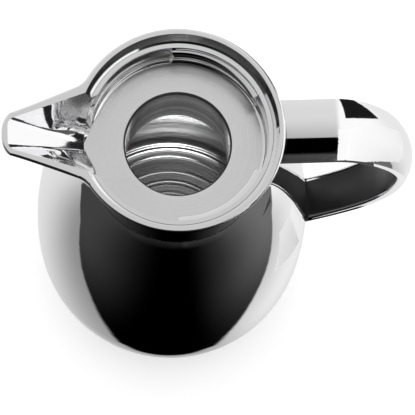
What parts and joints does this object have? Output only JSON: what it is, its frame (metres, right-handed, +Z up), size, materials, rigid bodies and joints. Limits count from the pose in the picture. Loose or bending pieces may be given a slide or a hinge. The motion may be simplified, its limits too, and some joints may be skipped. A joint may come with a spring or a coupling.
{
  "type": "thermal carafe",
  "caption": "Double-walled steel thermal carafe with an open mouth, a spouted collar with lugs for a twist-in lid, and an open side handle.",
  "frame": {"origin": "centre of the foot pad's underside, on the surface that the carafe stands on", "axes": "+Z up along the body's axis, +X towards the handle, -X towards the spout"},
  "size_m": [0.171, 0.123, 0.198],
  "materials": {
    "polished_steel": "mirror polished steel",
    "polished_collar": "mirror polished casting",
    "pour_steel": "fine satin pressed steel",
    "flask_steel": "drawn and electropolished steel",
    "black_grip": "black moulded plastic with a soft gloss",
    "seal_rubber": "dark grey silicone",
    "base_plastic": "black moulded plastic",
    "foot_rubber": "black rubber",
    "bare_steel": "plain pressed steel",
    "foil": "bright foil",
    "screw_steel": "plain steel"
  },
  "bodies": {
    "root": {"outer_shell": "polished_steel", "spout_collar": "polished_collar", "lid_ring": "polished_collar", "pour_ring": "pour_steel", "mouth_seal": "seal_rubber", "inner_flask": "flask_steel", "flask_bottom": "flask_steel", "handle_frame": "polished_collar", "handle_inlay": "black_grip", "shoulder_gasket": "seal_rubber", "neck_ring": "bare_steel", "flask_foil": "foil", "getter_cup": "bare_steel", "vacuum_base": "bare_steel", "vacuum_plug": "bare_steel", "base_cover": "base_plastic", "foot_pad": "foot_rubber", "collar_nut": "bare_steel", "handle_upper_screws": "screw_steel", "handle_peg": "screw_steel", "handle_pad": "seal_rubber"}
  },
  "joints": []
}
